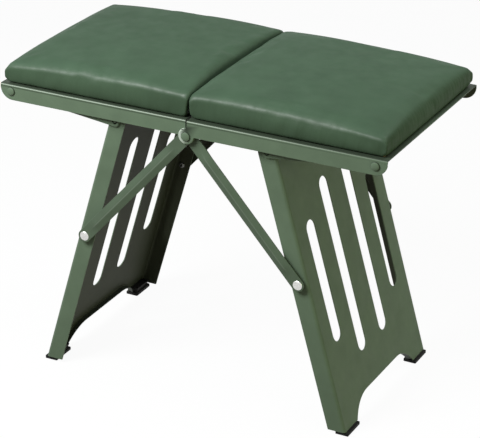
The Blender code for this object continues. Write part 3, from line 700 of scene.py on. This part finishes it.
# Leg panels: pressed steel sheet with the same green coat, four long slots to save weight and an arch that
# leaves a foot at each corner. The arch's rim and the sides are folded in; the side flanges carry the pivots.
LEG_SPLAY = math.radians(16.05)
LEG_BEND = 0.0036
FLANGE_DEPTH = 0.018
FLANGE_TOP_RADIUS = 0.007
LEG_TOP_MARGIN = 0.009
SLOT_WIDTH = 0.0170
INNER_SLOT_PLACE = 0.0250
INNER_SLOT_ENDS = (0.0595, 0.2440)
OUTER_SLOT_PLACE = 0.0683
OUTER_SLOT_ENDS = (0.0890, 0.2155)
ARCH_HEIGHT = 0.0230
ARCH_TOP_WIDTH = 0.1142
ARCH_FOOT_WIDTH = 0.1441
ARCH_RADIUS = 0.037
ARCH_LIP_DEPTH = 0.0065
ARCH_LIP_LOW = 0.0065
# painted shade on the arch's folded lip
ARCH_LIP_SHADE = 0.85

leg_up = Vector((-math.sin(LEG_SPLAY), 0.0, math.cos(LEG_SPLAY)))
leg_in = Vector((-math.cos(LEG_SPLAY), 0.0, -math.sin(LEG_SPLAY)))
leg_top = pivots["right_leg_swing"].z / math.cos(LEG_SPLAY) + LEG_TOP_MARGIN
for side, sign in SIDES.items():
    low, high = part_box(side + "_leg_panel")
    half_width = high.y
    foot_level = low.z
    floor_x = max(-low.x, high.x) + foot_level * math.tan(LEG_SPLAY)
    web_half = half_width - LEG_BEND
    stand = Matrix((Vector((0.0, 1.0, 0.0)), leg_up, leg_in)).transposed().to_4x4()
    stand.translation = (floor_x, 0.0, 0.0)

    slope = math.atan2(ARCH_HEIGHT, (ARCH_FOOT_WIDTH - ARCH_TOP_WIDTH) / 2)
    shoulder = (ARCH_TOP_WIDTH / 2 - ARCH_RADIUS * math.tan(slope / 2), ARCH_HEIGHT - ARCH_RADIUS)
    bow = arc(shoulder, ARCH_RADIUS, 90.0 - math.degrees(slope), 90.0, steps=10)
    lip_end = (ARCH_FOOT_WIDTH / 2 - ARCH_LIP_LOW / math.tan(slope), ARCH_LIP_LOW)
    half_arch = [(ARCH_FOOT_WIDTH / 2, 0.0), lip_end] + [point for point in bow if point[1] > ARCH_LIP_LOW]
    web = [(web_half, leg_top), (web_half, 0.0)] + half_arch
    web += [(-u, v) for u, v in reversed(half_arch)] + [(-web_half, 0.0), (-web_half, leg_top)]
    slots = []
    slot_radius = SLOT_WIDTH / 2
    for place, (bottom, top) in ((INNER_SLOT_PLACE, INNER_SLOT_ENDS), (OUTER_SLOT_PLACE, OUTER_SLOT_ENDS)):
        for y in (-place, place):
            slot = arc((y, top - slot_radius), slot_radius, 0.0, 180.0, steps=14)
            slot += arc((y, bottom + slot_radius), slot_radius, 180.0, 360.0, steps=14)
            slots.append(slot)

    bm = bmesh.new()
    cut_sheet(bm, web, lambda u, v: Vector((u, v, 0.0)), slots)
    arch = edges_where(bm, lambda p: abs(p.x) < ARCH_FOOT_WIDTH / 2
                       and ARCH_LIP_LOW - SAME_PLACE < p.y < ARCH_HEIGHT + SAME_PLACE)
    lip = draw_out(bm, arch, Vector((0.0, 0.0, 2 * SHEET)))
    draw_out(bm, lip, Vector((0.0, 0.0, ARCH_LIP_DEPTH - 2 * SHEET)))
    for face in FACES.values():
        border = edges_where(bm, lambda p: abs(p.x - face * web_half) < SAME_PLACE)
        hinge = Vector((face * web_half, 0.0, LEG_BEND))
        bend = fold(bm, border, hinge, Vector((0.0, 1.0, 0.0)), -face * math.pi / 2)
        rim = draw_out(bm, bend, Vector((0.0, 0.0, FLANGE_DEPTH - LEG_BEND)))
        tip = max((v for e in rim for v in e.verts), key=lambda v: v.co.y)
        round_off(bm, [tip], FLANGE_TOP_RADIUS, segments=8, affect="VERTICES")
    bmesh.ops.transform(bm, matrix=stand, verts=bm.verts)
    everything = bm.verts[:] + bm.edges[:] + bm.faces[:]
    bmesh.ops.bisect_plane(bm, geom=everything, plane_co=(0.0, 0.0, foot_level),
                           plane_no=(0.0, 0.0, -1.0), clear_outer=True)
    thicken(bm, sign, SHEET, EDGE_ROUND)
    # painted shade on the arch's folded lip, under the leg
    painted_shade = bm.verts.layers.float.new("painted_shade")
    for vert in bm.verts:
        place = Vector((sign * vert.co.x - floor_x, vert.co.y, vert.co.z))
        on_lip = place.dot(leg_in) > 1.5 * SHEET and place.dot(leg_up) < ARCH_HEIGHT + 2 * SHEET
        vert[painted_shade] = ARCH_LIP_SHADE * (on_lip and abs(place.y) < ARCH_FOOT_WIDTH / 2)
    add_piece(side + "_leg_sheet", bm, paint, side + "_leg", [side + "_leg_panel"])


# Feet: black rubber blocks under the corners of each leg. Each is moulded with a plug that is pressed into
# the folded corner of the sheet, and with grooves across its sole.
FOOT_THICKNESS = 0.0032
FOOT_EDGE_ROUND = 0.0007
FOOT_SHARP = math.radians(50.0)
FOOT_PLUG_INSET = 0.0031
FOOT_PLUG_SHIFT = 0.0008
FOOT_GROOVES = 4
FOOT_GROOVE_WALL = 0.0008
FOOT_GROOVE_DEPTH = 0.0007
RUBBER_COLOUR = (0.006, 0.006, 0.0055, 1.0)
RUBBER_SCUFF_COLOUR = (0.030, 0.029, 0.027, 1.0)
RUBBER_GLOSS = 0.16

rubber, tree, shader = new_finish("black_rubber")
tone = clouded(tree, RUBBER_COLOUR, depth=0.25, size=0.008)
scuffed = mix_colours(tree, rubbed(tree, size=0.003), tone, RUBBER_SCUFF_COLOUR)
tree.links.new(scuffed, shader.inputs["Base Color"])
tree.links.new(spread(tree, object_noise(tree, size=0.004), low=0.62, high=0.82), shader.inputs["Roughness"])
shader.inputs["Specular IOR Level"].default_value = RUBBER_GLOSS
add_bump(tree, shader, object_noise(tree, size=0.0006, detail=2.0), strength=0.25, distance=0.0002)


def faces_at(bm, level):
    """The flat faces that lie at a level."""
    return [f for f in bm.faces if all(abs(v.co.z - level) < SAME_PLACE for v in f.verts)]


for side, sign in SIDES.items():
    for face in FACES:
        low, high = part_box(f"{side}_foot_{face}")
        middle = (low + high) / 2
        sole = Vector((high.x - low.x, high.y - low.y, FOOT_THICKNESS))
        bm = bmesh.new()
        bmesh.ops.create_cube(bm, size=1.0)
        bmesh.ops.scale(bm, vec=sole, verts=bm.verts)
        bmesh.ops.translate(bm, vec=(middle.x, middle.y, low.z + FOOT_THICKNESS / 2), verts=bm.verts)
        upper = max(bm.faces, key=lambda f: f.calc_center_median().z)
        bmesh.ops.inset_region(bm, faces=[upper], thickness=FOOT_PLUG_INSET)
        plug = bmesh.ops.extrude_face_region(bm, geom=[upper])["geom"]
        plug_height = high.z - low.z - FOOT_THICKNESS
        lean = Vector((-sign * (plug_height * math.tan(LEG_SPLAY) + FOOT_PLUG_SHIFT), 0.0, plug_height))
        bmesh.ops.translate(bm, vec=lean, verts=points_of(plug))
        bmesh.ops.delete(bm, geom=[upper], context="FACES_ONLY")
        for strip in range(1, FOOT_GROOVES):
            cut_y = low.y + sole.y * strip / FOOT_GROOVES
            bottom = faces_at(bm, low.z)
            around = list({g for f in bottom for g in (*f.verts, *f.edges)}) + bottom
            bmesh.ops.bisect_plane(bm, geom=around, plane_co=(0.0, cut_y, 0.0), plane_no=(0.0, 1.0, 0.0))
        bmesh.ops.recalc_face_normals(bm, faces=bm.faces)
        bmesh.ops.inset_individual(bm, faces=faces_at(bm, low.z), thickness=FOOT_GROOVE_WALL,
                                   depth=-FOOT_GROOVE_DEPTH)
        above = low.z + FOOT_GROOVE_DEPTH * 1.5
        sharp = [e for e in sharp_edges(bm, FOOT_SHARP) if max(v.co.z for v in e.verts) > above]
        round_off(bm, sharp, FOOT_EDGE_ROUND, segments=3)
        add_piece(f"{side}_sole_{face}", bm, rubber, side + "_leg", [f"{side}_foot_{face}"])


# Links: flat steel bars with round ends, green like the pans. Each hangs a leg's top from the rail's outer
# end, behind the rail, and swings the leg out from under the seat.
LINK_HALF_WIDTH = 0.005
LINK_END_SHARE = 0.99
LINK_EDGE_ROUND = 0.0004


def reach_of(node):
    """A node's distances from the stool's mid-plane, outer face first."""
    low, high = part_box(node)
    return max(abs(low.y), abs(high.y)), min(abs(low.y), abs(high.y))


def bar_place(start, end, face, reach):
    """Places a bar's (along, across, inwards) coordinates between two pivots, at a reach sideways."""
    along = (end - start).normalized()
    inward = Vector((0.0, -FACES[face], 0.0))
    place = Matrix((along, inward.cross(along), inward)).transposed().to_4x4()
    place.translation = (start.x, FACES[face] * reach, start.z)
    return place


for side in SIDES:
    for face in FACES:
        outer, inner = reach_of(f"{side}_link_{face}")
        start, end = pivots[side + "_leg_fold"], pivots[side + "_leg_swing"]
        length = (end - start).length
        bm = bmesh.new()
        bmesh.ops.create_grid(bm, x_segments=1, y_segments=1, size=1.0)
        bmesh.ops.scale(bm, vec=(length / 2 + LINK_HALF_WIDTH, LINK_HALF_WIDTH, 1.0), verts=bm.verts)
        bmesh.ops.translate(bm, vec=(length / 2, 0.0, 0.0), verts=bm.verts)
        round_off(bm, bm.verts[:], LINK_HALF_WIDTH * LINK_END_SHARE, segments=10, affect="VERTICES")
        raised = bmesh.ops.extrude_face_region(bm, geom=bm.faces[:])["geom"]
        bmesh.ops.translate(bm, vec=(0.0, 0.0, outer - inner), verts=points_of(raised))
        bmesh.ops.recalc_face_normals(bm, faces=bm.faces)
        round_off(bm, sharp_edges(bm, CUT_EDGE), LINK_EDGE_ROUND, segments=2)
        bmesh.ops.transform(bm, matrix=bar_place(start, end, face, outer), verts=bm.verts)
        bmesh.ops.recalc_face_normals(bm, faces=bm.faces)
        add_piece(f"{side}_link_bar_{face}", bm, paint, side + "_links",
                  [f"{side}_link_{face}"])


# Braces: green steel strips pressed into a ridge that stands outwards, and left flat at both ends for the
# rivets. They stay the legs from the centre hinge, and the right one's eye lies behind the left one's.
BRACE_HALF_WIDTH = 0.0067
BRACE_SHEET = 0.0015
BRACE_CREST = 0.0005
BRACE_RIDGE = 0.0016
# painted highlight along the ridge's crest
BRACE_CREST_HIGHLIGHT = 0.22
# painted shade over the whole brace, which the seat shades
BRACE_SHADE = 0.30
BRACE_FLAT_AT_CENTRE = 0.021
BRACE_FLAT_AT_LEG = 0.0125
BRACE_RAMP = 0.010
BRACE_EYE_STEP = 0.0018
BRACE_PIVOT = Vector((0.11791, 0.0, 0.1545))
BRACE_END_STEPS = 9
BRACE_TIP_STEPS = 9.6
BRACE_RUN_STEPS = 48
BRACE_ACROSS_STEPS = 16


def ease(value, start, stop):
    """Rises smoothly from 0 at start to 1 at stop."""
    t = min(1.0, max(0.0, (value - start) / (stop - start)))
    return t * t * (3.0 - 2.0 * t)


for side, sign in SIDES.items():
    for face in FACES:
        outer, inner = reach_of(f"{side}_brace_{face}")
        start = pivots[side + "_brace_swing"]
        end = Vector((sign * BRACE_PIVOT.x, 0.0, BRACE_PIVOT.z))
        length = (end - start).length
        centre_eye = BRACE_EYE_STEP if side == "right" else 0.0
        steps = 2 * BRACE_END_STEPS + BRACE_RUN_STEPS
        bm = bmesh.new()
        bmesh.ops.create_grid(bm, x_segments=steps, y_segments=BRACE_ACROSS_STEPS, size=1.0)
        edge_mark = bm.verts.layers.float.new("painted_highlight")
        painted_shade = bm.verts.layers.float.new("painted_shade")
        for vert in bm.verts:
            # painted shade over the whole brace
            vert[painted_shade] = BRACE_SHADE
            count = round((vert.co.x + 1.0) / 2.0 * steps)
            run = (count - BRACE_END_STEPS) / BRACE_RUN_STEPS
            quarter = max(-run, run - 1.0, 0.0) * BRACE_RUN_STEPS / BRACE_TIP_STEPS * math.pi / 2
            tip = math.copysign(BRACE_HALF_WIDTH * math.sin(quarter), run - 0.5)
            along = length * min(1.0, max(0.0, run)) + tip
            across = vert.co.y * BRACE_HALF_WIDTH * math.cos(quarter)
            at_centre = ease(along, BRACE_FLAT_AT_CENTRE, BRACE_FLAT_AT_CENTRE + BRACE_RAMP)
            at_leg = ease(along, length - BRACE_FLAT_AT_LEG, length - BRACE_FLAT_AT_LEG - BRACE_RAMP)
            flank = max(0.0, abs(across) - BRACE_CREST) / (BRACE_HALF_WIDTH - BRACE_CREST)
            ridge = BRACE_RIDGE * flank * at_centre * at_leg
            # painted highlight on the crest
            vert[edge_mark] = BRACE_CREST_HIGHLIGHT * at_centre * at_leg * (abs(across) < BRACE_CREST)
            vert.co = (along, across, ridge + centre_eye * (1.0 - at_centre) + BRACE_RIDGE * (1.0 - at_leg))
        bmesh.ops.transform(bm, matrix=bar_place(start, end, face, outer), verts=bm.verts)
        bm.normal_update()
        if sum(f.normal.y for f in bm.faces) * FACES[face] < 0.0:
            bmesh.ops.reverse_faces(bm, faces=bm.faces)
        round_cut_edges(bm, BRACE_SHEET, EDGE_ROUND)
        add_piece(f"{side}_brace_bar_{face}", bm, paint, side + "_braces",
                  [f"{side}_brace_{face}"])


# Painted rivets: the centre pins that both pans and the braces turn on, and the pins that hold the links at
# the rails' ends. They are set before painting, so their low round heads have the same green coat.
SHANK_RADIUS = 0.0024
HEAD_HEIGHT = 0.0018
HEAD_RIM_SHARE = 0.25
# painted shade ring round the foot of each head, and how far up the head it reaches
HEAD_SHADE = 0.8
HEAD_SHADE_SHARE = 0.54
CENTRE_HEAD_RADIUS = 0.0048
LINK_HEAD_RADIUS = 0.0044
TAIL_RADIUS = 0.0034
DOME_STEPS = 6
TURN_STEPS = 40


def dome(radius, seat, crown):
    """Profile of a low round head from its seat to its crown, which are distances from the mid-plane."""
    edge = seat + (crown - seat) * HEAD_RIM_SHARE
    quarter = [math.radians(90.0 * i / DOME_STEPS) for i in range(DOME_STEPS + 1)]
    return [(radius, seat)] + [(radius * math.cos(a), edge + (crown - edge) * math.sin(a)) for a in quarter]


def headed_pin(radius, outer, inner):
    """Profile of a pin with a round head at its outer end and a plain inner end."""
    seat = outer - HEAD_HEIGHT
    return dome(radius, seat, outer)[::-1] + [(SHANK_RADIUS, seat), (SHANK_RADIUS, inner), (0.0, inner)]


def turn(profile, pivot, face, closed=False, with_painted_shade=None):
    """Turns a profile of (radius, distance from the mid-plane) points about a pivot's axis."""
    bm = bmesh.new()
    verts = [bm.verts.new((pivot.x + radius, FACES[face] * reach, pivot.z)) for radius, reach in profile]
    following = verts[1:] + verts[:1] if closed else verts[1:]
    edges = [bm.edges.new(pair) for pair in zip(verts, following)]
    centre = Vector((pivot.x, 0.0, pivot.z))
    bmesh.ops.spin(bm, geom=verts + edges, cent=centre, axis=(0.0, 1.0, 0.0), angle=2.0 * math.pi,
                   steps=TURN_STEPS, use_merge=True)
    bmesh.ops.remove_doubles(bm, verts=bm.verts, dist=SAME_PLACE)
    bmesh.ops.recalc_face_normals(bm, faces=bm.faces)
    # painted shade ring round the foot of the head
    if with_painted_shade is not None:
        painted_shade = bm.verts.layers.float.new("painted_shade")
        for vert in bm.verts:
            vert[painted_shade] = HEAD_SHADE * (abs(vert.co.y) < with_painted_shade + SAME_PLACE)
    return bm


for face in FACES:
    node = "centre_rivet_" + face
    outer, inner = reach_of(node)
    head = dome(CENTRE_HEAD_RADIUS, outer - HEAD_HEIGHT, outer)
    tail = dome(TAIL_RADIUS, inner + HEAD_HEIGHT, inner)
    shank = [(SHANK_RADIUS, outer - HEAD_HEIGHT), (SHANK_RADIUS, inner + HEAD_HEIGHT)]
    bm = turn(head[::-1] + shank + tail, pivots["seat_fold"], face, with_painted_shade=outer - HEAD_HEIGHT * HEAD_SHADE_SHARE)
    add_piece("centre_pin_" + face, bm, paint, "left_seat", [node])
    for side in SIDES:
        node = f"{side}_link_rivet_{face}"
        outer, inner = reach_of(node)
        pin = headed_pin(LINK_HEAD_RADIUS, outer, inner)
        bm = turn(pin, pivots[side + "_leg_fold"], face, with_painted_shade=outer - HEAD_HEIGHT * HEAD_SHADE_SHARE)
        add_piece(f"{side}_link_pin_{face}", bm, paint, side + "_seat", [node])


# Bright fixings: plated steel rivets in the braces, tubular rivets at the legs' tops, eyelets in the flanges,
# spacer bushes behind the rails, and the screws that hold the pads. They are fitted after painting.
BRACE_HEAD_RADIUS = 0.0050
BUSH_RADIUS = 0.0042
BORE_CLEARANCE = 0.0003
TUBE_RADIUS = 0.0013
TUBE_DEPTH = 0.0016
EYELET_FLANGE = 0.0020
SCREW_HEAD_RADIUS = 0.0038
SCREW_HEAD_HEIGHT = 0.0020
SCREW_RADIUS = 0.0016
SCREW_SOCKET_RADIUS = 0.0016
SCREW_SOCKET_DEPTH = 0.0011
SCREW_SOCKET_RIM = 0.0004
SCREW_STEPS = 24
STEEL_COLOUR = (0.66, 0.66, 0.64, 1.0)
ZINC_COLOUR = (0.40, 0.40, 0.37, 1.0)
OXIDE_COLOUR = (0.13, 0.13, 0.12, 1.0)


def metal_finish(name, colour, roughness):
    """A bare metal of a colour, within two values of roughness."""
    material, tree, shader = new_finish(name)
    tree.links.new(clouded(tree, colour, depth=0.12, size=0.002), shader.inputs["Base Color"])
    shader.inputs["Metallic"].default_value = 1.0
    tree.links.new(spread(tree, object_noise(tree, size=0.0012), *roughness), shader.inputs["Roughness"])
    add_bump(tree, shader, object_noise(tree, size=0.0005, detail=2.0), strength=0.10, distance=0.0001)
    return material


steel = metal_finish("bright_steel", STEEL_COLOUR, roughness=(0.22, 0.36))
zinc = metal_finish("dull_zinc", ZINC_COLOUR, roughness=(0.38, 0.55))
oxide = metal_finish("dark_oxide", OXIDE_COLOUR, roughness=(0.42, 0.60))

for side, sign in SIDES.items():
    brace_end = Vector((sign * BRACE_PIVOT.x, 0.0, BRACE_PIVOT.z))
    for face in FACES:
        node = f"{side}_brace_rivet_{face}"
        outer, inner = reach_of(node)
        bm = turn(headed_pin(BRACE_HEAD_RADIUS, outer, inner), brace_end, face)
        add_piece(f"{side}_brace_pin_{face}", bm, steel, side + "_braces", [node])

        node = f"{side}_brace_bush_{face}"
        outer, inner = reach_of(node)
        ring = [(TUBE_RADIUS, outer), (BUSH_RADIUS, outer), (BUSH_RADIUS, outer - EYELET_FLANGE),
                (SHANK_RADIUS, outer - EYELET_FLANGE), (SHANK_RADIUS, inner + HEAD_HEIGHT)]
        ring += dome(TAIL_RADIUS, inner + HEAD_HEIGHT, inner)[:-2] + [(TUBE_RADIUS, inner)]
        bm = turn(ring, brace_end, face, closed=True)
        add_piece(f"{side}_brace_eyelet_{face}", bm, oxide, side + "_leg", [node])

        node = f"{side}_leg_rivet_{face}"
        outer, inner = reach_of(node)
        tube = [(0.0, outer - TUBE_DEPTH), (TUBE_RADIUS, outer - TUBE_DEPTH), (TUBE_RADIUS, outer),
                (SHANK_RADIUS, outer), (SHANK_RADIUS, inner + HEAD_HEIGHT)]
        tube += dome(TAIL_RADIUS, inner + HEAD_HEIGHT, inner)
        bm = turn(tube, pivots[side + "_leg_swing"], face)
        add_piece(f"{side}_leg_pin_{face}", bm, oxide, side + "_leg", [node])

        node = f"{side}_link_bush_{face}"
        outer, inner = reach_of(node)
        bore = SHANK_RADIUS + BORE_CLEARANCE
        ring = [(bore, outer), (BUSH_RADIUS, outer), (BUSH_RADIUS, inner), (bore, inner)]
        bm = turn(ring, pivots[side + "_leg_fold"], face, closed=True)
        round_off(bm, sharp_edges(bm, CUT_EDGE), EDGE_ROUND, segments=2)
        add_piece(f"{side}_link_spacer_{face}", bm, zinc, side + "_seat", [node])

    for number in range(1, 5):
        node = f"{side}_pad_screw_{number}"
        low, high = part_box(node)
        middle = (low + high) / 2
        seat = low.z + SCREW_HEAD_HEIGHT
        profile = dome(SCREW_HEAD_RADIUS, seat, low.z)[::-1][2:]
        profile += [(SCREW_RADIUS, seat), (SCREW_RADIUS, high.z), (0.0, high.z)]
        bm = bmesh.new()
        verts = [bm.verts.new((middle.x + radius, middle.y, z)) for radius, z in profile]
        edges = [bm.edges.new(pair) for pair in zip(verts, verts[1:])]
        bmesh.ops.spin(bm, geom=verts + edges, cent=middle, axis=(0.0, 0.0, 1.0), angle=2.0 * math.pi,
                       steps=SCREW_STEPS, use_merge=True)
        bmesh.ops.remove_doubles(bm, verts=bm.verts, dist=SAME_PLACE)
        mouth = bmesh.ops.contextual_create(bm, geom=[e for e in bm.edges if e.is_boundary])["faces"]
        bmesh.ops.inset_region(bm, faces=mouth, thickness=SCREW_SOCKET_RIM)
        for vert in mouth[0].verts:
            angle = math.atan2(vert.co.y - middle.y, vert.co.x - middle.x) % (math.pi / 3) - math.pi / 6
            flat = SCREW_SOCKET_RADIUS * math.cos(math.pi / 6) / math.cos(angle)
            vert.co.xy = middle.xy + (vert.co.xy - middle.xy).normalized() * flat
        socket = bmesh.ops.extrude_face_region(bm, geom=mouth)["geom"]
        bmesh.ops.translate(bm, vec=(0.0, 0.0, SCREW_SOCKET_DEPTH), verts=points_of(socket))
        bmesh.ops.delete(bm, geom=mouth, context="FACES_ONLY")
        bmesh.ops.recalc_face_normals(bm, faces=bm.faces)
        add_piece(f"{side}_board_screw_{number}", bm, zinc, side + "_seat", [node])
